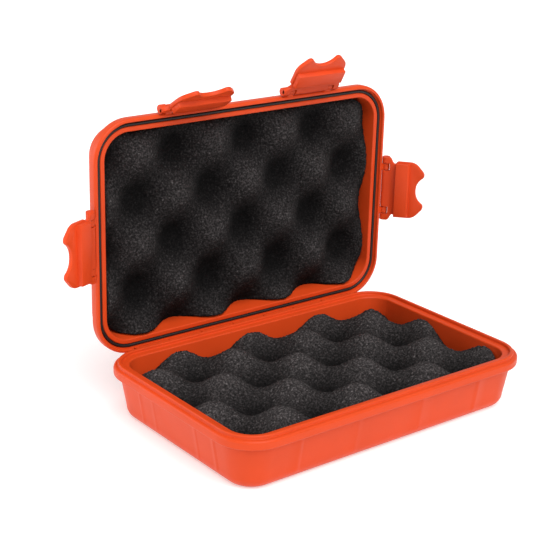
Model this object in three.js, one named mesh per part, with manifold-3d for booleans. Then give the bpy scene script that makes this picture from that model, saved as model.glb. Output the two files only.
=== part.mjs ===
// Hinged, foam-lined waterproof case with four over-flange latches.
//
// Frame, millimetres: X runs along the hinge, the hinge is at +Y, Z is up. The origin is the centre
// of the base's flat underside. The lid stands open and each latch rests at an angle of its own.
import * as THREE from 'three';
import { ParametricGeometry } from 'three/addons/geometries/ParametricGeometry.js';
import { mergeVertices } from 'three/addons/utils/BufferGeometryUtils.js';
import Module from 'manifold-3d';

const wasm = await Module();
wasm.setup();

// ---------------------------------------------------------------- driving dimensions
const LENGTH = 165; // over the flange, along X
const WIDTH = 108; // over the flange, along Y
const CORNER = 18; // plan radius of the flange's corners
const CORNER_STEPS = 6; // facets in each corner
const GAP = 0.3; // between pieces that touch on the real case

const BASE = {
  rim: 24.9, // height of the rim's flat
  flange: 4.2, // flange thickness
  edgeRound: 1.2, // rounding of the rim's outer edge
  underRound: 0.8, // rounding of the flange's lower edge
  tongueOuter: 1.9, // insets of the tongue that presses the seal, and its height above the rim
  tongueInner: 3.6,
  tongueHeight: 1.5,
  innerTop: 7.1, // inset of the cavity's wall at the rim and at its foot
  innerFoot: 7.5,
  wallTop: 3, // inset of the outer wall under the flange and at its foot
  wallFoot: 5.5,
  floor: 2.4,
  footRound: 5.7,
  cavityRound: 4,
};

const LID = {
  face: BASE.rim + GAP, // height of the lid's rim face when shut
  flange: 4.6,
  height: 16.8, // from the rim face to the lid's crown
  edgeRound: 1.1,
  underRound: 0.8,
  band: 1.7, // width of the rim face, outside the ledge that takes the tongue
  ledge: 1.7, // depth of the ledge
  grooveOuter: 2.2, // insets of the seal groove's walls
  grooveInner: 3.95,
  grooveDepth: 3.2, // from the rim face
  innerTop: 6.2, // inset of the cavity's wall at the ledge and at its foot
  innerFoot: 7.1,
  wallTop: 3.8,
  wallFoot: 4.6,
  skin: 2.2,
  crownRound: 6,
  cavityRound: 4,
  openAngle: 89.6, // degrees from shut to the stop
};

const FOAM = {
  wallGap: 0.5,
  baseTop: 18.4, // mean height of the convoluted surface
  lidTop: 6.4, // mean depth of the lid's foam behind the rim face
  bottomRound: 4,
};

const HINGE = {
  y: WIDTH / 2 - 0.66,
  z: BASE.rim - 0.44,
  knuckle: 1.6, // barrel radius
  notch: 1.9, // radius cut out of the other shell round each barrel
  bore: 0.9,
  pin: 0.6,
  span: 127, // length of the whole row of knuckles
  knuckles: 7, // base and lid by turns, the first and last on the base
  sideGap: 0.4,
  endWall: 1.2, // closes the bore at each end of the row
};

const LATCH = {
  pivotOut: 2.3, // pin's distance outside the flange's edge
  pivotUp: 0.2, // pin's height above the lid's rim face, lid shut
  barrel: 1.8,
  lug: 1.7,
  bore: 1,
  pin: 0.7,
  endWall: 0.8, // closes the bore at each ear
  inner: 2, // from the pin to the plate's inner face
  thick: 2,
  earHalf: 16.3, // half widths across the latch
  waistHalf: 13.5,
  bodyHalf: 15,
  pointHalf: 7.2,
  lugHalf: [9.6, 12.8],
  hookHalf: 14.2,
  earTop: 2, // distances down the latch from the pin
  bodyTop: 5.4,
  shoulder: 12.3,
  scallop: 15.6,
  tip: 19.5,
  hookStart: 5.3,
  hookEnd: 12.4,
  hookReach: 2.5,
  frontSpread: 33.5,
};

const LATCH_SITES = [
  { name: 'front_left', along: -LATCH.frontSpread, side: 'front', swing: 58 },
  { name: 'front_right', along: LATCH.frontSpread, side: 'front', swing: 31 },
  { name: 'left', along: 0, side: 'left', swing: 23 },
  { name: 'right', along: 0, side: 'right', swing: 50 },
];

const FINISH = {
  shell: { color: 0xd9431c, roughness: 0.45, metalness: 0 },
  latch: { color: 0xd2381a, roughness: 0.4, metalness: 0 },
  seal: { color: 0x151313, roughness: 0.6, metalness: 0 },
  foam: { color: 0x322b29, roughness: 0.95, metalness: 0 },
  steel: { color: 0xb8b8ba, roughness: 0.3, metalness: 1 },
};

// ---------------------------------------------------------------- geometry to solid and back
function toSolid(geometry) {
  const bare = geometry.clone();
  bare.deleteAttribute('normal');
  bare.deleteAttribute('uv');
  const merged = mergeVertices(bare, 1e-4);
  const triangles = [];
  for (let i = 0; i < merged.index.count; i += 3) {
    const [a, b, c] = merged.index.array.slice(i, i + 3);
    if (a !== b && b !== c && a !== c) triangles.push(a, b, c);
  }
  if (signedVolume(merged.attributes.position.array, triangles) < 0) triangles.reverse();
  const mesh = new wasm.Mesh({
    numProp: 3,
    vertProperties: merged.attributes.position.array,
    triVerts: new Uint32Array(triangles),
  });
  return new wasm.Manifold(mesh);
}

function signedVolume(points, triangles) {
  const [a, b, c] = [new THREE.Vector3(), new THREE.Vector3(), new THREE.Vector3()];
  let sum = 0;
  for (let i = 0; i < triangles.length; i += 3) {
    a.fromArray(points, 3 * triangles[i]);
    b.fromArray(points, 3 * triangles[i + 1]);
    c.fromArray(points, 3 * triangles[i + 2]);
    sum += a.dot(b.cross(c));
  }
  return sum;
}

function toMesh(name, solid, finish) {
  const { vertProperties, triVerts } = solid.getMesh();
  const geometry = new THREE.BufferGeometry();
  geometry.setAttribute('position', new THREE.BufferAttribute(vertProperties, 3));
  geometry.setIndex(new THREE.BufferAttribute(triVerts, 1));
  geometry.computeVertexNormals();
  const mesh = new THREE.Mesh(geometry, new THREE.MeshStandardMaterial(finish));
  mesh.name = name;
  return mesh;
}

const union = (solids) => solids.reduce((sum, solid) => sum.add(solid));
const cutAll = (body, solids) => solids.reduce((rest, solid) => rest.subtract(solid), body);

// ---------------------------------------------------------------- sweeps round the case's outline
// A profile is a list of [inset, z]: inset is measured inwards from the flange's outline. An open
// profile starts and ends on the case's middle axis; a closed one makes a ring.
function outlinePoint(step, inset) {
  const perCorner = CORNER_STEPS + 1;
  const corner = Math.floor(step / perCorner) % 4;
  const angle = (Math.PI / 2) * (corner + (step % perCorner) / CORNER_STEPS);
  const signX = corner === 0 || corner === 3 ? 1 : -1;
  const signY = corner < 2 ? 1 : -1;
  const radius = CORNER - inset;
  return [
    signX * (LENGTH / 2 - CORNER) + radius * Math.cos(angle),
    signY * (WIDTH / 2 - CORNER) + radius * Math.sin(angle),
  ];
}

function sweep(profile, ring = false) {
  const first = [null, profile[0][1]];
  const last = [null, profile[profile.length - 1][1]];
  const rows = ring ? [...profile, profile[0]] : [first, ...profile, last];
  const slices = 4 * (CORNER_STEPS + 1);
  const stacks = rows.length - 1;
  const place = (u, v, target) => {
    const [inset, z] = rows[Math.round(v * stacks)];
    const [x, y] = inset === null ? [0, 0] : outlinePoint(Math.round(u * slices), inset);
    target.set(x, y, z);
  };
  return toSolid(new ParametricGeometry(place, slices, stacks));
}

// Points on an arc in the profile's plane, angles in degrees, 0 towards larger inset.
function arc(inset, z, radius, from, to, steps = 4) {
  return Array.from({ length: steps + 1 }, (_, i) => {
    const angle = THREE.MathUtils.degToRad(from + ((to - from) * i) / steps);
    return [inset + radius * Math.cos(angle), z + radius * Math.sin(angle)];
  });
}

// ---------------------------------------------------------------- plain solids
function box(x0, x1, y0, y1, z0, z1) {
  const geometry = new THREE.BoxGeometry(x1 - x0, y1 - y0, z1 - z0);
  return toSolid(geometry.translate((x0 + x1) / 2, (y0 + y1) / 2, (z0 + z1) / 2));
}

function rod(x0, x1, y, z, radius, sides = 20) {
  const geometry = new THREE.CylinderGeometry(radius, radius, x1 - x0, sides);
  return toSolid(geometry.rotateZ(Math.PI / 2).translate((x0 + x1) / 2, y, z));
}

// ---------------------------------------------------------------- base shell
function baseProfile() {
  const { rim, edgeRound, underRound, tongueOuter, tongueInner } = BASE;
  const under = rim - BASE.flange;
  const foot = BASE.footRound;
  const hollow = BASE.cavityRound;
  const top = rim + BASE.tongueHeight;
  const soft = 0.4;
  const lip = 0.6;
  return [
    ...arc(BASE.wallFoot + foot, foot, foot, 270, 180),
    [BASE.wallTop, under],
    ...arc(underRound, under + underRound, underRound, 270, 180, 2),
    ...arc(edgeRound, rim - edgeRound, edgeRound, 180, 90, 3),
    [tongueOuter, rim],
    ...arc(tongueOuter + soft, top - soft, soft, 180, 90, 2),
    ...arc(tongueInner - soft, top - soft, soft, 90, 0, 2),
    [tongueInner, rim],
    ...arc(BASE.innerTop - lip, rim - lip, lip, 90, 0, 2),
    ...arc(BASE.innerFoot + hollow, BASE.floor + hollow, hollow, 180, 270),
  ];
}

// Where knuckle i of the row runs along X.
function knuckleSpan(i) {
  const pitch = HINGE.span / HINGE.knuckles;
  const start = -HINGE.span / 2 + i * pitch;
  return [start + HINGE.sideGap / 2, start + pitch - HINGE.sideGap / 2];
}

function knuckleSpans(first) {
  const count = Math.ceil((HINGE.knuckles - first) / 2);
  return Array.from({ length: count }, (_, i) => knuckleSpan(first + 2 * i));
}

function hingeRod([x0, x1], radius) {
  return rod(x0, x1, HINGE.y, HINGE.z, radius);
}

function hingeBore() {
  const half = HINGE.span / 2 - HINGE.endWall;
  return hingeRod([-half, half], HINGE.bore);
}

// Room in one shell's flange for the other shell's barrel.
function knuckleNotch([x0, x1]) {
  return hingeRod([x0 - HINGE.sideGap, x1 + HINGE.sideGap], HINGE.notch);
}

// One shell's knuckles; each barrel runs into the edge of its own flange.
function knuckles(first) {
  return knuckleSpans(first).map((span) => hingeRod(span, HINGE.knuckle));
}

function baseShell() {
  const tub = cutAll(sweep(baseProfile()), knuckleSpans(1).map(knuckleNotch));
  return union([tub, ...knuckles(0)]).subtract(hingeBore());
}

// ---------------------------------------------------------------- lid shell, drawn shut
function lidProfile() {
  const { face, edgeRound, underRound, band, grooveOuter, grooveInner } = LID;
  const ledge = face + LID.ledge;
  const groove = face + LID.grooveDepth;
  const over = face + LID.flange;
  const crown = face + LID.height;
  const round = LID.crownRound;
  const hollow = LID.cavityRound;
  const lip = 0.6;
  return [
    ...arc(LID.wallFoot + round, crown - round, round, 90, 180),
    [LID.wallTop, over],
    ...arc(underRound, over - underRound, underRound, 90, 180, 2),
    ...arc(edgeRound, face + edgeRound, edgeRound, 180, 270, 3),
    [band, face],
    [band, ledge],
    [grooveOuter, ledge],
    [grooveOuter, groove],
    [grooveInner, groove],
    [grooveInner, ledge],
    ...arc(LID.innerTop - lip, ledge + lip, lip, 270, 360, 2),
    ...arc(LID.innerFoot + hollow, crown - LID.skin - hollow, hollow, 180, 90),
  ];
}

// Frame of one latch on the shut lid: x along the edge, y outwards, z towards the base.
function latchSite({ along, side }) {
  const turn = { front: 0, left: -Math.PI / 2, right: Math.PI / 2 }[side];
  const reach = side === 'front' ? WIDTH / 2 : LENGTH / 2;
  const site = new THREE.Group();
  const placed = new THREE.Group();
  placed.position.set(along, -(reach + LATCH.pivotOut), LID.face + LATCH.pivotUp);
  placed.rotation.x = Math.PI;
  site.rotation.z = turn;
  site.add(placed);
  return { site, placed };
}

function atSite(solid, latch) {
  const { site, placed } = latchSite(latch);
  site.updateMatrixWorld(true);
  return solid.transform(placed.matrixWorld.elements);
}

function latchLug(side) {
  const [near, far] = LATCH.lugHalf;
  const [x0, x1] = side > 0 ? [near, far] : [-far, -near];
  const barrel = rod(x0, x1, 0, 0, LATCH.lug);
  const arm = box(x0, x1, -LATCH.pivotOut - 1, 0, -LATCH.lug, LATCH.pivotUp - 0.2);
  return barrel.add(arm);
}

function latchBore() {
  const half = LATCH.earHalf - LATCH.endWall;
  return rod(-half, half, 0, 0, LATCH.bore);
}

function lidShell() {
  const lugs = LATCH_SITES.flatMap((latch) => [-1, 1].map((side) => {
    return atSite(latchLug(side).subtract(latchBore()), latch);
  }));
  const tub = cutAll(sweep(lidProfile()), knuckleSpans(0).map(knuckleNotch));
  return union([tub, ...knuckles(1), ...lugs]).subtract(hingeBore());
}

// ---------------------------------------------------------------- seal and foam
function gasket() {
  const outer = LID.grooveOuter + GAP;
  const inner = LID.grooveInner - GAP;
  const front = BASE.rim + BASE.tongueHeight + GAP;
  const deep = LID.face + LID.grooveDepth - GAP;
  return sweep([[outer, front], [inner, front], [inner, deep], [outer, deep]], true);
}

function baseFoam() {
  const round = FOAM.bottomRound;
  const inset = BASE.innerFoot + FOAM.wallGap;
  const bottom = BASE.floor + FOAM.wallGap;
  return sweep([
    ...arc(inset + round, bottom + round, round, 270, 180),
    [inset, FOAM.baseTop],
  ]);
}

function lidFoam() {
  const round = FOAM.bottomRound;
  const inset = LID.innerFoot + FOAM.wallGap;
  const crown = LID.face + LID.height - LID.skin - FOAM.wallGap;
  return sweep([
    [inset, LID.face + FOAM.lidTop],
    ...arc(inset + round, crown - round, round, 180, 90),
  ]);
}

// ---------------------------------------------------------------- latch, in its own frame
// x runs across the latch, y away from the pin, z is the plate's inner side.
function latchOutline() {
  const { waistHalf, bodyHalf, pointHalf, shoulder, scallop, tip } = LATCH;
  const shape = new THREE.Shape();
  shape.moveTo(-waistHalf, 0);
  shape.lineTo(waistHalf, 0);
  shape.lineTo(waistHalf, LATCH.bodyTop - 1);
  shape.lineTo(bodyHalf, LATCH.bodyTop);
  shape.lineTo(bodyHalf, shoulder - 2);
  shape.quadraticCurveTo(bodyHalf, shoulder + 2, pointHalf + 4, tip - 3.2);
  shape.quadraticCurveTo(pointHalf + 1.5, tip + 0.6, pointHalf - 1.2, tip - 1);
  shape.quadraticCurveTo(pointHalf * 0.45, scallop, 0, scallop);
  shape.quadraticCurveTo(-pointHalf * 0.45, scallop, 1.2 - pointHalf, tip - 1);
  shape.quadraticCurveTo(-pointHalf - 1.5, tip + 0.6, -pointHalf - 4, tip - 3.2);
  shape.quadraticCurveTo(-bodyHalf, shoulder + 2, -bodyHalf, shoulder - 2);
  shape.lineTo(-bodyHalf, LATCH.bodyTop);
  shape.lineTo(-waistHalf, LATCH.bodyTop - 1);
  return shape;
}

function latchPlate() {
  const bevel = 0.5;
  const geometry = new THREE.ExtrudeGeometry(latchOutline(), {
    depth: LATCH.thick - 2 * bevel,
    bevelThickness: bevel,
    bevelSize: bevel,
    bevelOffset: -bevel,
    bevelSegments: 2,
    curveSegments: 5,
  });
  return toSolid(geometry.translate(0, 0, LATCH.inner - LATCH.thick + bevel));
}

function latchHook() {
  const { hookStart, hookEnd, hookReach, inner, hookHalf } = LATCH;
  const profile = new THREE.Shape();
  profile.moveTo(hookStart, inner - 0.5);
  profile.lineTo(hookEnd, inner - 0.5);
  profile.lineTo(hookEnd, inner);
  profile.lineTo(hookEnd - 0.5, inner + hookReach);
  profile.lineTo(hookStart + 0.4, inner + hookReach);
  profile.lineTo(hookStart, inner + hookReach - 0.4);
  const geometry = new THREE.ExtrudeGeometry(profile, { depth: 2 * hookHalf, bevelEnabled: false });
  geometry.rotateZ(Math.PI / 2).rotateY(Math.PI / 2).translate(-hookHalf, 0, 0);
  return toSolid(geometry);
}

function latchBody() {
  const ears = [-1, 1].map((side) => {
    const [x0, x1] = side > 0 ? [11, LATCH.earHalf] : [-LATCH.earHalf, -11];
    const block = box(x0, x1, 0, LATCH.earTop, LATCH.inner - LATCH.thick, LATCH.inner);
    return rod(x0, x1, 0, 0, LATCH.barrel).add(block);
  });
  const middle = rod(-11, 11, 0, 0, LATCH.barrel);
  const room = LATCH.lug + GAP;
  const slots = [-1, 1].map((side) => {
    const [near, far] = LATCH.lugHalf.map((x) => side * x);
    const span = [Math.min(near, far) - GAP, Math.max(near, far) + GAP];
    return box(...span, -3, room, -3, 3);
  });
  const body = union([latchPlate(), latchHook(), middle, ...ears]);
  return cutAll(body, [...slots, latchBore()]);
}

function latchPin() {
  const half = LATCH.earHalf - LATCH.endWall - GAP;
  return rod(-half, half, 0, 0, LATCH.pin, 16);
}

// ---------------------------------------------------------------- assembly
function addBase(kit) {
  kit.add(toMesh('base_shell', baseShell(), FINISH.shell));
  kit.add(toMesh('base_foam', baseFoam(), FINISH.foam));
  const half = HINGE.span / 2 - HINGE.endWall - GAP;
  kit.add(toMesh('hinge_pin', rod(-half, half, HINGE.y, HINGE.z, HINGE.pin, 16), FINISH.steel));
}

function addLatch(lid, latch) {
  const { site, placed } = latchSite(latch);
  const swinging = new THREE.Group();
  swinging.rotation.x = THREE.MathUtils.degToRad(latch.swing);
  swinging.add(toMesh(`latch_${latch.name}`, latchBody(), FINISH.latch));
  placed.add(swinging);
  placed.add(toMesh(`latch_pin_${latch.name}`, latchPin(), FINISH.steel));
  lid.add(site);
}

function addLid(kit) {
  const hinge = new THREE.Group();
  hinge.position.set(0, HINGE.y, HINGE.z);
  hinge.rotation.x = -THREE.MathUtils.degToRad(LID.openAngle);
  const lid = new THREE.Group();
  lid.position.set(0, -HINGE.y, -HINGE.z);
  lid.add(toMesh('lid_shell', lidShell(), FINISH.shell));
  lid.add(toMesh('lid_foam', lidFoam(), FINISH.foam));
  lid.add(toMesh('gasket', gasket(), FINISH.seal));
  LATCH_SITES.forEach((latch) => addLatch(lid, latch));
  hinge.add(lid);
  kit.add(hinge);
}

const kit = new THREE.Group();
addBase(kit);
addLid(kit);

export default kit;
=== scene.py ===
"""Looks of a foam-lined waterproof case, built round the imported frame.

Shapes are drawn in millimetres in the frame's axes. The lid and its latches are drawn shut and
then swung to the rest pose, as the part itself is.
"""

import math

import bmesh
import bpy
import numpy as np
from mathutils import Matrix, Vector, noise


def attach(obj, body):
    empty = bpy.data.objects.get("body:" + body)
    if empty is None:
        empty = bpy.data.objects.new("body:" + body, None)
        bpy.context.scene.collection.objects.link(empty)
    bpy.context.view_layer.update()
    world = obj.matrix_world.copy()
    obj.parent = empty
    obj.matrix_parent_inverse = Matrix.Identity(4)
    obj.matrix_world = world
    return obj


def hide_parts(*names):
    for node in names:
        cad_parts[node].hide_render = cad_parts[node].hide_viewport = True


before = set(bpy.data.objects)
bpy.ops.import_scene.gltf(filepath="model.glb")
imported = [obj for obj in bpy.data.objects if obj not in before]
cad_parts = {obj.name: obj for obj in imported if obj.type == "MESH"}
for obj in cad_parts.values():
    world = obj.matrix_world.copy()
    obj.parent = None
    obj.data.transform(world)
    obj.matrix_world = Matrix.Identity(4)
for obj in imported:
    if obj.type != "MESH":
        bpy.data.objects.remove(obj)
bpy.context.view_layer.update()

MM = 0.001

# ---------------------------------------------------------------- dimensions, millimetres
LENGTH, WIDTH, CORNER = 165.0, 108.0, 18.0
CORNER_STEPS = 14
RIM = 24.9  # height of the base's rim
TONGUE = (1.9, 3.6, 26.4)  # insets of the rim's raised tongue, and its height
FACE = 25.2  # height of the shut lid's rim face
LEDGE = 1.7  # depth of the lid's recessed ledge, behind its rim face
FLANGE, LID_FLANGE = 4.2, 4.6
LID_HEIGHT, LID_SKIN = 16.8, 2.2  # rim face to crown, and the crown's thickness
FOOT_ROUND, CROWN_ROUND, CAVITY_ROUND = 5.7, 6, 4
OPEN_ANGLE = 89.6
HINGE_Y, HINGE_Z = 53.34, 24.46
KNUCKLE_R, NOTCH_R, BORE_R, PIN_R = 1.6, 1.9, 0.9, 0.6
HINGE_SPAN, KNUCKLES, SIDE_GAP = 127.0, 7, 0.4
END_WALL = 1.2  # closes the hinge's bore at each end
PIN_GAP = 0.3  # between a pin's end and the end of its bore
LATCH_OUT, LATCH_UP = 2.3, 0.2  # the pivot, from the lid flange's edge and rim face
PLATE_INNER, PLATE_THICK = 2.0, 2.0
LUG_SPAN = (9.6, 12.8)
BARREL_R, LUG_R, LATCH_BORE_R, LATCH_PIN_R = 2.0, 1.7, 1.0, 0.7
LATCH_BORE = 15.5  # half length of the blind bore across a latch
LATCHES = {  # name: (place along the side, quarter turns, swing in degrees)
    "front_left": (-33.5, 0, 58.0),
    "front_right": (33.5, 0, 31.0),
    "left": (0.0, -1, 23.0),
    "right": (0.0, 1, 50.0),
}
BASE_FOAM = (18.2, 5.6)  # mean height and swing of the convoluted face
LID_FOAM = (6.4, 5.3)  # the same, as depth behind the lid's rim face
LID_FOAM_Y = (63.8, 54.8)  # along Y, where the open lid's foam is painted darkest as pit and lightest as peak: painted shade and light by height


# ---------------------------------------------------------------- mesh helpers
def new_object(name, verts, faces):
    """A mesh object from points in millimetres."""
    mesh = bpy.data.meshes.new(name)
    mesh.from_pydata([[c * MM for c in v] for v in verts], [], faces)
    mesh.validate()
    obj = bpy.data.objects.new(name, mesh)
    bpy.context.scene.collection.objects.link(obj)
    face_out(obj)
    return obj


def face_out(obj):
    bm = bmesh.new()
    bm.from_mesh(obj.data)
    bmesh.ops.recalc_face_normals(bm, faces=bm.faces)
    bm.to_mesh(obj.data)
    bm.free()


def smooth(obj, angle=32.0):
    for polygon in obj.data.polygons:
        polygon.use_smooth = True
    obj.data.set_sharp_from_angle(angle=math.radians(angle))


def move(obj, matrix):
    """Moves the object's points; the matrix's lengths are millimetres."""
    m = matrix.copy()
    m.translation *= MM
    obj.data.transform(m)
    obj.data.update()
    return obj


def drop(obj):
    mesh = obj.data
    bpy.data.objects.remove(obj)
    bpy.data.meshes.remove(mesh)


def combine(target, tools, operation):
    """Joins or cuts target with closed solids, and removes them."""
    for tool in tools:
        modifier = target.modifiers.new("combine", "BOOLEAN")
        modifier.operation = operation
        modifier.solver = "EXACT"
        modifier.object = tool
    dg = bpy.context.evaluated_depsgraph_get()
    mesh = bpy.data.meshes.new_from_object(target.evaluated_get(dg))
    old = target.data
    target.modifiers.clear()
    target.data = mesh
    mesh.name = target.name
    bpy.data.meshes.remove(old)
    for tool in tools:
        drop(tool)
    return target


def arc(cx, cy, radius, start, stop, steps=6):
    """Points on an arc, angles in degrees."""
    angles = np.radians(np.linspace(start, stop, steps + 1))
    return [(cx + radius * math.cos(a), cy + radius * math.sin(a)) for a in angles]


def curve(a, b, c, steps=6):
    """A quadratic Bezier from a to c, without its first point."""
    ts = [i / steps for i in range(1, steps + 1)]
    return [
        tuple((1 - t) ** 2 * a[k] + 2 * t * (1 - t) * b[k] + t * t * c[k] for k in (0, 1))
        for t in ts
    ]


# ---------------------------------------------------------------- sweep round the case
def outline():
    """Points round the flange's edge: [x, y, outward normal x, y, side, place along the side]."""
    hx, hy = LENGTH / 2 - CORNER, WIDTH / 2 - CORNER
    sides = [  # start, direction and length of each straight side, and its outward normal
        ((LENGTH / 2, -hy), (0, 1), 2 * hy, (1, 0)),
        ((hx, WIDTH / 2), (-1, 0), 2 * hx, (0, 1)),
        ((-LENGTH / 2, hy), (0, -1), 2 * hy, (-1, 0)),
        ((-hx, -WIDTH / 2), (1, 0), 2 * hx, (0, -1)),
    ]
    centres = [(hx, hy), (-hx, hy), (-hx, -hy), (hx, -hy)]
    points = []
    for side, ((x0, y0), (dx, dy), length, (nx, ny)) in enumerate(sides):
        for s in side_stations(side, length):
            points.append((x0 + dx * s, y0 + dy * s, nx, ny, side, s - length / 2))
        cx, cy = centres[side]
        for i in range(1, CORNER_STEPS):
            a = math.pi / 2 * (side + i / CORNER_STEPS)
            c, s = math.cos(a), math.sin(a)
            points.append((cx + CORNER * c, cy + CORNER * s, c, s, -1, 0.0))
    return points


RIBS = {  # side: [(place along the side, half width, height)]
    3: [(-50.5, 1.3, 0.22), (-19.5, 1.3, 0.12), (17.0, 1.3, 0.14), (51.0, 1.3, 0.22)],
    1: [(-50.5, 1.3, 0.22), (-18.0, 1.3, 0.12), (18.0, 1.3, 0.12), (50.5, 1.3, 0.22)],
    2: [(-25.5, 1.0, 0.12), (-15.0, 1.0, 0.10), (16.5, 1.0, 0.12), (29.5, 1.0, 0.15)],
    0: [(-28.5, 1.0, 0.15), (-16.0, 1.0, 0.12), (16.0, 1.0, 0.12), (28.5, 1.0, 0.15)],
}


def side_stations(side, length):
    """Distances along a side, with extra ones where a rib stands."""
    stations = set(np.linspace(0, length, 17).round(3))
    for place, half, _ in RIBS[side]:
        for k in (-1.0, -0.55, 0.0, 0.55, 1.0):
            stations.add(round(place + k * half + length / 2, 3))
    return sorted(s for s in stations if 0 <= s <= length)


OUTLINE = outline()


def rib_height(side, along):
    for place, half, height in RIBS.get(side, ()):
        k = abs(along - place) / half
        if k < 1:
            return height * min(1.0, (1 - k) * 2.2)
    return 0.0


def sweep(name, rows, closed=False, ribs=None):
    """Sweeps rows of (inset, z) round the outline. An open profile is capped at both ends.

    ribs = (low z, high z, row count) stands the ribs proud between those heights, on the first rows."""
    low, high, ribbed_rows = ribs or (0, 0, 0)
    verts, faces = [], []
    count = len(OUTLINE)
    for row, (inset, z) in enumerate(rows):
        ribbed = row < ribbed_rows and low < z < high
        for x, y, nx, ny, side, along in OUTLINE:
            d = inset - (rib_height(side, along) if ribbed else 0.0)
            verts.append((x - nx * d, y - ny * d, z))
    last = len(rows) if closed else len(rows) - 1
    for r in range(last):
        a, b = r * count, ((r + 1) % len(rows)) * count
        for i in range(count):
            j = (i + 1) % count
            faces.append((a + i, a + j, b + j, b + i))
    if not closed:
        faces.append(tuple(range(count)))
        faces.append(tuple(range((len(rows) - 1) * count, len(rows) * count)))
    return new_object(name, verts, faces)


def rod(name, x0, x1, y, z, radius, chamfer=0.0, sides=40):
    """A cylinder along X with chamfered ends."""
    stations = [(x0, radius), (x1, radius)]
    if chamfer:
        stations = [
            (x0, radius - chamfer), (x0 + chamfer * 0.4, radius - chamfer * 0.4), (x0 + chamfer, radius),
            (x1 - chamfer, radius), (x1 - chamfer * 0.4, radius - chamfer * 0.4), (x1, radius - chamfer),
        ]
    verts, faces = [], []
    for x, r in stations:
        verts += [(x, y + r * math.cos(a), z + r * math.sin(a)) for a in turn(sides)]
    for k in range(len(stations) - 1):
        for i in range(sides):
            j = (i + 1) % sides
            faces.append((k * sides + i, k * sides + j, (k + 1) * sides + j, (k + 1) * sides + i))
    faces.append(tuple(range(sides)))
    faces.append(tuple(range((len(stations) - 1) * sides, len(stations) * sides)))
    return new_object(name, verts, faces)


def turn(sides):
    return [2 * math.pi * (i + 0.5) / sides for i in range(sides)]


def prism(name, section, x0, x1, bevel=0.0):
    """A section of (y, z) points extruded along X, its edges rounded by bevel."""
    n = len(section)
    verts = [(x0, y, z) for y, z in section] + [(x1, y, z) for y, z in section]
    faces = [tuple(range(n)), tuple(range(2 * n - 1, n - 1, -1))]
    faces += [(i, (i + 1) % n, n + (i + 1) % n, n + i) for i in range(n)]
    obj = new_object(name, verts, faces)
    if bevel:
        round_edges(obj, bevel)
    return obj


def round_edges(obj, width, angle=25.0, segments=2):
    bm = bmesh.new()
    bm.from_mesh(obj.data)
    sharp = [e for e in bm.edges if len(e.link_faces) == 2 and e.calc_face_angle(0) > math.radians(angle)]
    bmesh.ops.bevel(
        bm, geom=sharp, offset=width * MM, segments=segments, profile=0.5, affect="EDGES", clamp_overlap=True
    )
    bm.to_mesh(obj.data)
    bm.free()


# ---------------------------------------------------------------- placing
def about(y, z, angle):
    """Rotation about a line along X through (y, z), in degrees."""
    to = Matrix.Translation((0, y, z))
    return to @ Matrix.Rotation(math.radians(angle), 4, "X") @ to.inverted()


OPEN = about(HINGE_Y, HINGE_Z, -OPEN_ANGLE)


def latch_place(name, swing=True):
    """Matrix from a latch's own frame to the open lid. x runs along the edge, y outwards, z inwards."""
    along, quarter, angle = LATCHES[name]
    reach = (LENGTH if quarter else WIDTH) / 2 + LATCH_OUT
    turned = Matrix.Rotation(quarter * math.pi / 2, 4, "Z")
    site = turned @ Matrix.Translation((along, -reach, FACE + LATCH_UP))
    site = site @ Matrix.Rotation(math.pi, 4, "X")
    if swing:
        site = site @ Matrix.Rotation(math.radians(angle), 4, "X")
    return OPEN @ site


# ---------------------------------------------------------------- hinge
def knuckle_spans(first):
    pitch = HINGE_SPAN / KNUCKLES
    starts = [-HINGE_SPAN / 2 + i * pitch for i in range(first, KNUCKLES, 2)]
    return [(s + SIDE_GAP / 2, s + pitch - SIDE_GAP / 2) for s in starts]


def hinge_rods(spans, radius, spare=0.0, chamfer=0.0):
    return [
        rod("tool", x0 - spare, x1 + spare, HINGE_Y, HINGE_Z, radius, chamfer) for x0, x1 in spans
    ]


BORE = [(END_WALL - HINGE_SPAN / 2, HINGE_SPAN / 2 - END_WALL)]  # blind at both ends


# ---------------------------------------------------------------- shells
def base_rows():
    under = RIM - FLANGE
    near, far, top = TONGUE
    foot = FOOT_ROUND
    wall = [(5.5 - 2.5 * k, foot + (under - 0.9 - foot) * k) for k in (0.25, 0.5, 0.75)]
    rows = [(20.0, 0.0)] + arc(11.2, foot, foot, 270, 180, 10)
    outer = len(rows) + len(wall)
    rows += wall + arc(2.1, under - 0.9, 0.9, 0, 90, 5)
    rows += arc(0.8, under + 0.8, 0.8, 270, 180, 5) + arc(1.2, RIM - 1.2, 1.2, 180, 90, 8)
    rows += arc(near - 0.3, RIM + 0.3, 0.3, 270, 360, 3) + arc(near + 0.5, top - 0.5, 0.5, 180, 90, 5)
    rows += arc(far - 0.5, top - 0.5, 0.5, 90, 0, 5) + arc(far + 0.3, RIM + 0.3, 0.3, 180, 270, 3)
    rows += arc(6.4, RIM - 0.7, 0.7, 90, 0, 5) + [(7.2, 18), (7.35, 12)]
    rows += arc(11.5, 6.4, CAVITY_ROUND, 180, 270, 6)
    return rows, outer


def base_shell():
    rows, outer = base_rows()
    tub = sweep("base_tub", rows, ribs=(3.2, RIM - FLANGE - 0.4, outer + 2))
    combine(tub, hinge_rods(knuckle_spans(1), NOTCH_R, SIDE_GAP), "DIFFERENCE")
    combine(tub, hinge_rods(knuckle_spans(0), KNUCKLE_R, chamfer=0.2), "UNION")
    combine(tub, hinge_rods(BORE, BORE_R), "DIFFERENCE")
    return tub


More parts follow.
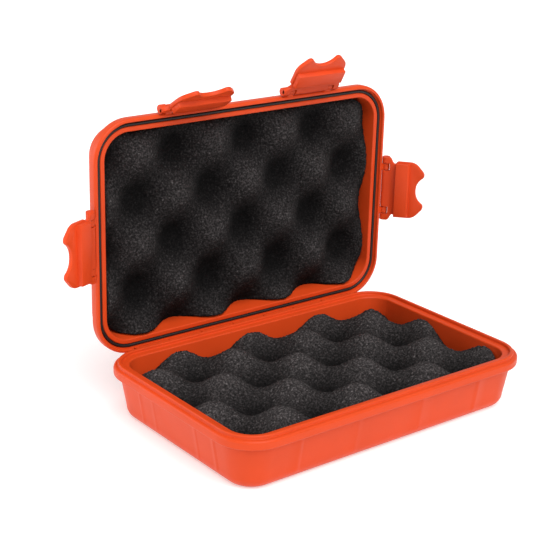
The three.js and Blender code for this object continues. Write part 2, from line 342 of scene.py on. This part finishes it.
def lid_rows():
    over, crown = FACE + LID_FLANGE, FACE + LID_HEIGHT
    ledge, deep = FACE + LEDGE, FACE + LEDGE + 1.5
    rows = [(14.6, crown)] + arc(10.6, crown - CROWN_ROUND, CROWN_ROUND, 90, 180, 10)
    rows += [(4.2, over + 3), (3.9, over + 1.2)] + arc(2.95, over + 0.9, 0.9, 0, -90, 5)
    rows += arc(0.8, over - 0.8, 0.8, 90, 180, 5) + arc(1.1, FACE + 1.1, 1.1, 180, 270, 8)
    rows += arc(1.45, FACE + 0.25, 0.25, 270, 360, 3) + [(1.75, ledge), (2.2, ledge)]
    rows += arc(2.5, deep - 0.3, 0.3, 180, 90, 3) + arc(3.65, deep - 0.3, 0.3, 90, 0, 3)
    rows += arc(4.25, ledge + 0.3, 0.3, 180, 270, 3) + arc(5.65, ledge + 0.5, 0.5, 270, 360, 5)
    rows += [(6.6, ledge + 4)] + arc(11.1, crown - LID_SKIN - CAVITY_ROUND, CAVITY_ROUND, 180, 90, 6)
    return rows


def lid_lugs(name):
    """The two ears of the lid that hold one latch's pin, each bored for it."""
    near, far = LUG_SPAN
    lugs = []
    section = [(-LATCH_OUT - 0.9, 0.0), (0, 0.0), (0, -LUG_R), (-LATCH_OUT - 0.9, -2.4)]
    for x0, x1 in ((near, far), (-far, -near)):
        lug = combine(rod("tool", x0, x1, 0, 0, LUG_R, 0.25), [prism("tool", section, x0, x1)], "UNION")
        combine(lug, [rod("tool", x0 - 1, x1 + 1, 0, 0, LATCH_BORE_R)], "DIFFERENCE")
        lugs.append(move(lug, OPEN.inverted() @ latch_place(name, swing=False)))
    return lugs


def lid_shell():
    tub = sweep("lid_tub", lid_rows())
    combine(tub, hinge_rods(knuckle_spans(0), NOTCH_R, SIDE_GAP), "DIFFERENCE")
    lugs = [lug for name in LATCHES for lug in lid_lugs(name)]
    combine(tub, hinge_rods(knuckle_spans(1), KNUCKLE_R, chamfer=0.2) + lugs, "UNION")
    combine(tub, hinge_rods(BORE, BORE_R), "DIFFERENCE")
    return move(tub, OPEN)


def seal_ring():
    deep = FACE + LEDGE + 1.2
    section = [(2.5, deep), (3.65, deep)] + arc(3.25, FACE + LEDGE + 0.2, 0.4, 0, -90, 4)
    section += arc(2.9, FACE + LEDGE + 0.2, 0.4, 270, 180, 4)
    ring = sweep("seal_ring", section, closed=True)
    return move(ring, OPEN)


# ---------------------------------------------------------------- latches, in their own frame
def latch_outline():
    """(x, y) points of the plate: ears at the pin, a waist, square body, scalloped finger end."""
    half = [(16.3, -1.0), (16.3, 1.7)] + curve((16.3, 1.7), (15.9, 2.8), (14.4, 3.3), 3)
    half += curve((14.4, 3.3), (13.0, 3.9), (13.0, 4.8), 3) + [(13.9, 5.5), (14.4, 6.1), (14.4, 12.2)]
    half += curve((14.4, 12.2), (14.4, 14.4), (12.9, 16.2), 5) + [(9.9, 18.9)]
    half += curve((9.9, 18.9), (8.3, 20.2), (6.8, 19.1), 5)
    half += curve((6.8, 19.1), (4.5, 15.6), (0.0, 15.6), 8)
    return half + [(-x, y) for x, y in reversed(half[:-1])]


def latch_plate():
    outline_points = latch_outline()
    n = len(outline_points)
    low, high = PLATE_INNER - PLATE_THICK, PLATE_INNER
    verts = [(x, y, low) for x, y in outline_points] + [(x, y, high) for x, y in outline_points]
    faces = [tuple(range(n)), tuple(range(2 * n - 1, n - 1, -1))]
    faces += [(i, (i + 1) % n, n + (i + 1) % n, n + i) for i in range(n)]
    plate = new_object("tool", verts, faces)
    round_edges(plate, 0.4, angle=50)
    return plate


def latch_ridge():
    """The hook that catches the base's flange: a ridge across the body."""
    inner, reach = PLATE_INNER, 2.5
    section = [
        (5.3, inner - 0.8), (5.3, inner + reach), (11.9, inner + reach - 0.25), (12.4, inner - 0.8),
    ]
    return prism("tool", section, -13.7, 13.7, bevel=0.35)


def latch_barrels():
    """The knuckle between the lid's two lugs, and one outside each."""
    near, far = LUG_SPAN
    spans = [(-near + 0.3, near - 0.3), (far + 0.3, 16.3), (-16.3, -far - 0.3)]
    return [rod("tool", x0, x1, 0, 0, BARREL_R, 0.25) for x0, x1 in spans]


def latch_slots():
    near, far = LUG_SPAN
    section = [(-4, -4), (2.0, -4), (2.0, 4), (-4, 4)]
    return [prism("tool", section, x0 - 0.3, x1 + 0.3) for x0, x1 in ((near, far), (-far, -near))]


def latch(name):
    plate = latch_plate()
    plate.name = f"latch_body_{name}"
    root = prism("tool", [(-4, -4), (0, -4), (0, 4), (-4, 4)], -20, 20)
    combine(plate, [root], "DIFFERENCE")
    combine(plate, [latch_ridge()] + latch_barrels(), "UNION")
    bore = rod("tool", -LATCH_BORE, LATCH_BORE, 0, 0, LATCH_BORE_R)
    combine(plate, latch_slots() + [bore], "DIFFERENCE")
    return move(plate, latch_place(name))


# ---------------------------------------------------------------- egg-crate foam
def half_width(y, half_x, half_y, radius):
    """Half extent along X of a rounded rectangle at height y."""
    over = abs(y) - (half_y - radius)
    if over <= 0:
        return half_x
    return half_x - radius + math.sqrt(max(radius * radius - over * over, 0.0))


def foam_pad(name, half_x, half_y, radius, height, floor, seed, foot, step=0.75):
    """A pad whose top is height(x, y); its sides lean in by foot and its foot is rounded."""
    rng = np.random.default_rng(seed)
    nx, ny = int(2 * half_x / step), int(2 * half_y / step)
    verts, faces = [], []
    for j in range(ny + 1):
        k = 2 * j / ny - 1
        y = half_y * (0.75 * k + 0.25 * math.sin(k * math.pi / 2))
        hx = half_width(y, half_x, half_y, radius)
        for i in range(nx + 1):
            x = hx * (2 * i / nx - 1)
            edge = i in (0, nx) or j in (0, ny)
            dx, dy, dz = rng.normal(0, 0.16, 3)
            if edge:
                dx = dy = 0.0
            verts.append((x + dx, y + dy, height(x, y) + dz + pores(x, y, seed)))

    def top(i, j):
        return j * (nx + 1) + i

    for j in range(ny):
        for i in range(nx):
            faces.append((top(i, j), top(i + 1, j), top(i + 1, j + 1), top(i, j + 1)))
    ring = [top(i, 0) for i in range(nx)] + [top(nx, j) for j in range(ny)]
    ring += [top(i, ny) for i in range(nx, 0, -1)] + [top(0, j) for j in range(ny, 0, -1)]
    skirt(verts, faces, ring, (half_x, half_y), floor, foot, rng)
    return new_object(name, verts, faces)


def pores(x, y, seed):
    """Uneven cut surface: fine pores over slow swells, in millimetres."""
    fine = noise.noise(Vector((x * 0.9, y * 0.9, seed)))
    slow = noise.noise(Vector((x * 0.16, y * 0.16, seed)))
    return 0.22 * fine + 0.3 * slow


def waves(x, y, pitch, crest):
    """Egg-crate relief from -1 to 1, highest at crest."""
    across = math.cos(2 * math.pi * (x - crest[0]) / pitch[0])
    return across * math.cos(2 * math.pi * (y - crest[1]) / pitch[1])


def skirt(verts, faces, ring, half, floor, foot, rng):
    """Sides and foot of a pad: rings of points below its edge, then a flat cap."""
    count = len(ring)
    previous = ring
    for share, more in ((0.3, 0.0), (0.6, 0.0), (0.85, 0.1), (0.96, 1.2), (1.0, 3.0)):
        start = len(verts)
        inset = share * foot + more
        for k in ring:
            x, y, z = verts[k]
            sx, sy = 1 - inset / half[0], 1 - inset / half[1]
            jitter = 0.12 * rng.normal() if share < 0.9 else 0.0
            verts.append((x * sx, y * sy, z + (floor - z) * share + jitter))
        current = list(range(start, start + count))
        for i in range(count):
            j = (i + 1) % count
            faces.append((previous[j], previous[i], current[i], current[j]))
        previous = current
    faces.append(tuple(previous))


def base_foam():
    mean, swing = BASE_FOAM

    def height(x, y):
        return mean + swing * waves(x, y, pitch=(41, 41), crest=(-3.8, 10))

    return foam_pad("foam_base", 74.8, 46.3, 12.6, height, 2.9, 3, foot=0.6)


def lid_foam():
    """Drawn with its face towards -Z of the shut lid, so z falls from the lid's crown."""
    mean, swing = LID_FOAM

    def height(x, y):
        return -(FACE + mean + swing * waves(x, y, pitch=(39.6, 42.5), crest=(3, 6.8)))

    pad = foam_pad("foam_lid", 75.0, 46.7, 12.7, height, -(FACE + LID_HEIGHT - 2.7), 7, foot=0.6)
    pad.data.transform(Matrix.Scale(-1, 4, (0, 0, 1)))
    face_out(pad)
    return move(pad, OPEN)


# ---------------------------------------------------------------- materials
def material(name, color, roughness, metallic=0.0, specular=0.5):
    mat = bpy.data.materials.new(name)
    mat.use_nodes = True
    shader = mat.node_tree.nodes["Principled BSDF"]
    shader.inputs["Base Color"].default_value = (*color, 1)
    shader.inputs["Roughness"].default_value = roughness
    shader.inputs["Metallic"].default_value = metallic
    shader.inputs["Specular IOR Level"].default_value = specular
    return mat, mat.node_tree, shader


def coordinates(tree):
    return tree.nodes.new("ShaderNodeTexCoord").outputs["Object"]


def noise_node(tree, scale, detail=3.0, rough=0.5):
    node = tree.nodes.new("ShaderNodeTexNoise")
    node.inputs["Scale"].default_value = scale
    node.inputs["Detail"].default_value = detail
    node.inputs["Roughness"].default_value = rough
    tree.links.new(coordinates(tree), node.inputs["Vector"])
    return node.outputs["Fac"]


def ramp(tree, value, stops):
    node = tree.nodes.new("ShaderNodeValToRGB")
    elements = node.color_ramp.elements
    while len(elements) < len(stops):
        elements.new(0.5)
    for element, (place, color) in zip(elements, stops):
        element.position = place
        element.color = (*color, 1)
    tree.links.new(value, node.inputs["Fac"])
    return node.outputs["Color"]


def grey_range(tree, value, low, high):
    node = tree.nodes.new("ShaderNodeMapRange")
    node.inputs["To Min"].default_value = low
    node.inputs["To Max"].default_value = high
    tree.links.new(value, node.inputs["Value"])
    return node.outputs["Result"]


def bump(tree, shader, height, strength, distance):
    node = tree.nodes.new("ShaderNodeBump")
    node.inputs["Strength"].default_value = strength
    node.inputs["Distance"].default_value = distance
    tree.links.new(height, node.inputs["Height"])
    tree.links.new(node.outputs["Normal"], shader.inputs["Normal"])


def plastic(name, color, roughness):
    """Satin moulded plastic: faint flow marks in colour and gloss, fine moulded skin in relief."""
    mat, tree, shader = material(name, color, roughness, specular=0.2)
    lighter = tuple(c * 1.04 for c in color)
    darker = tuple(c * 0.95 for c in color)
    flow = ramp(tree, noise_node(tree, 45, 4), [(0.3, darker), (0.7, lighter)])
    tree.links.new(flow, shader.inputs["Base Color"])
    gloss = grey_range(tree, noise_node(tree, 120, 5), roughness - 0.05, roughness + 0.07)
    tree.links.new(gloss, shader.inputs["Roughness"])
    bump(tree, shader, noise_node(tree, 2600, 2), 0.10, 0.0002)
    return mat


def foam_material(name, axis, pit, peak, pale):
    """Open-cell foam: a fine random speckle of pale cell struts among dark pores, with painted shade by
    height: darker from the peaks into the pits, lighter towards the peaks.
    """
    mat, tree, shader = material(name, (0.03, 0.027, 0.026), 0.95, specular=0.1)
    cells = noise_node(tree, 1150, 3, 0.65)
    color = ramp(tree, cells, [(0.34, (0.005, 0.0045, 0.0045)), (0.50, (0.014, 0.0125, 0.0125)),
                               (0.64, (0.036, 0.032, 0.032)), (0.78, (0.12, 0.11, 0.11))])
    # Painted shade and painted light: the speckle colour is scaled by the foam's height along axis, 0.25
    # times at pit up to pale times at peak, so pits are painted dark and peaks painted light.
    split = tree.nodes.new("ShaderNodeSeparateXYZ")
    tree.links.new(coordinates(tree), split.inputs["Vector"])
    depth = tree.nodes.new("ShaderNodeMapRange")
    depth.inputs["From Min"].default_value = pit * MM
    depth.inputs["From Max"].default_value = peak * MM
    depth.inputs["To Min"].default_value = 0.25
    depth.inputs["To Max"].default_value = pale
    tree.links.new(split.outputs[axis], depth.inputs["Value"])
    shade = tree.nodes.new("ShaderNodeVectorMath")
    shade.operation = "SCALE"
    tree.links.new(color, shade.inputs[0])
    tree.links.new(depth.outputs["Result"], shade.inputs["Scale"])
    tree.links.new(shade.outputs["Vector"], shader.inputs["Base Color"])
    bump(tree, shader, cells, 0.5, 0.0005)
    return mat


def rubber(name):
    mat, tree, shader = material(name, (0.012, 0.010, 0.010), 0.5, specular=0.4)
    gloss = grey_range(tree, noise_node(tree, 400, 3), 0.42, 0.6)
    tree.links.new(gloss, shader.inputs["Roughness"])
    bump(tree, shader, noise_node(tree, 1800, 2), 0.15, 0.0002)
    return mat


def steel(name):
    mat, tree, shader = material(name, (0.55, 0.55, 0.56), 0.3, metallic=1.0)
    gloss = grey_range(tree, noise_node(tree, 900, 3), 0.22, 0.42)
    tree.links.new(gloss, shader.inputs["Roughness"])
    bump(tree, shader, noise_node(tree, 2200, 1), 0.08, 0.0001)
    return mat


def paint(obj, mat, body, nodes, angle=32.0):
    """Finishes a piece: its material, smooth shading, body and the CAD nodes it stands for."""
    obj.data.materials.clear()
    obj.data.materials.append(mat)
    smooth(obj, angle)
    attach(obj, body)
    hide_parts(*nodes)
    return obj


# ---------------------------------------------------------------- assembly
SHELL = plastic("shell_plastic", (0.62, 0.056, 0.009), 0.40)
LATCH_MAT = plastic("latch_plastic", (0.64, 0.056, 0.010), 0.42)
# Grey foam with painted shade in the pits and painted light on the peaks; pale is the painted gain at the
# peaks.
BASE_GREY_PAINTED_SHADE = foam_material("foam_grey_painted_shade_base", "Z", BASE_FOAM[0] - BASE_FOAM[1], sum(BASE_FOAM), pale=2.6)
LID_GREY_PAINTED_SHADE = foam_material("foam_grey_painted_shade_lid", "Y", *LID_FOAM_Y, pale=1.6)
RUBBER = rubber("seal_rubber")
STEEL = steel("pin_steel")

paint(base_shell(), SHELL, "base", ["base_shell"])
paint(lid_shell(), SHELL, "lid", ["lid_shell"])
paint(seal_ring(), RUBBER, "lid", ["gasket"])
hinge_half = HINGE_SPAN / 2 - END_WALL - PIN_GAP
hinge_rod = rod("hinge_rod", -hinge_half, hinge_half, HINGE_Y, HINGE_Z, PIN_R, 0.15)
paint(hinge_rod, STEEL, "base", ["hinge_pin"])
paint(base_foam(), BASE_GREY_PAINTED_SHADE, "base", ["base_foam"], 180)
paint(lid_foam(), LID_GREY_PAINTED_SHADE, "lid", ["lid_foam"], 180)
for latch_name in LATCHES:
    paint(latch(latch_name), LATCH_MAT, f"latch_{latch_name}", [f"latch_{latch_name}"])
    pin_half = LATCH_BORE - PIN_GAP
    pin = rod(f"latch_rod_{latch_name}", -pin_half, pin_half, 0, 0, LATCH_PIN_R, 0.15)
    move(pin, latch_place(latch_name, swing=False))
    paint(pin, STEEL, "lid", [f"latch_pin_{latch_name}"])


# ---------------------------------------------------------------- stage, light, camera
def stage_floor():
    size = 3000
    corners = [(-size, -size, 0), (size, -size, 0), (size, size, 0), (-size, size, 0)]
    floor = new_object("floor", corners, [(0, 1, 2, 3)])
    mat, _, shader = material("floor_white", (0.78, 0.78, 0.78), 0.9, specular=0.1)
    shader.inputs["Emission Color"].default_value = (1, 1, 1, 1)
    shader.inputs["Emission Strength"].default_value = 0.35
    floor.data.materials.append(mat)


def softbox(name, place, target, size, energy):
    light = bpy.data.lights.new(name, "AREA")
    light.shape = "RECTANGLE"
    light.size, light.size_y = size
    light.energy = energy
    obj = bpy.data.objects.new(name, light)
    obj.location = place
    obj.rotation_euler = (Vector(target) - Vector(place)).to_track_quat("-Z", "Y").to_euler()
    bpy.context.scene.collection.objects.link(obj)


def soft_sun(name, place, strength, spread):
    """A broad far light; place is the direction it comes from."""
    light = bpy.data.lights.new(name, "SUN")
    light.energy = strength
    light.angle = math.radians(spread)
    obj = bpy.data.objects.new(name, light)
    obj.rotation_euler = Vector(place).to_track_quat("Z", "Y").to_euler()
    bpy.context.scene.collection.objects.link(obj)


def world_light(front, back):
    """A pale studio, brighter behind the case than in front of it."""
    world = bpy.data.worlds.new("studio")
    world.use_nodes = True
    tree = world.node_tree
    background = tree.nodes["Background"]
    split = tree.nodes.new("ShaderNodeSeparateXYZ")
    tree.links.new(tree.nodes.new("ShaderNodeTexCoord").outputs["Generated"], split.inputs["Vector"])
    span = tree.nodes.new("ShaderNodeMapRange")
    span.inputs["From Min"].default_value = -1.0
    span.inputs["To Min"].default_value = front
    span.inputs["To Max"].default_value = back
    tree.links.new(split.outputs["Y"], span.inputs["Value"])
    tree.links.new(span.outputs["Result"], background.inputs["Strength"])
    background.inputs["Color"].default_value = (1, 1, 1, 1)
    bpy.context.scene.world = world


def camera():
    """The calibrated view: azimuth, elevation, roll, distance and sideways shift of the eye."""
    azimuth, elevation, roll = math.radians(-38.11), math.radians(19.64), math.radians(1.36)
    distance, across, above, look_z = 609.02, -19.85, 22.55, 40.0
    level = math.cos(elevation)
    back = Vector((math.sin(azimuth) * level, -math.cos(azimuth) * level, math.sin(elevation)))
    right = (-back).cross(Vector((0, 0, 1))).normalized()
    up = right.cross(-back)
    right, up = right * math.cos(roll) + up * math.sin(roll), up * math.cos(roll) - right * math.sin(roll)
    eye = Vector((0, 0, look_z)) + back * distance + right * across + up * above
    data = bpy.data.cameras.new("camera")
    data.sensor_width = 36
    data.lens = 36 * 1365.37 / 551
    data.clip_start, data.clip_end = 0.01, 20
    cam = bpy.data.objects.new("camera", data)
    cam.matrix_world = Matrix((
        (right.x, up.x, back.x, eye.x * MM), (right.y, up.y, back.y, eye.y * MM),
        (right.z, up.z, back.z, eye.z * MM), (0, 0, 0, 1),
    ))
    bpy.context.scene.collection.objects.link(cam)
    bpy.context.scene.camera = cam


stage_floor()
world_light(0.20, 0.65)
soft_sun("light_front", (-0.12, -0.70, 0.85), 3.3, 60)
softbox("light_back", (-1.0, 0.75, 0.40), (0, 0, 0.05), (1.1, 0.7), 7)
camera()
bpy.context.scene.view_settings.view_transform = "Standard"
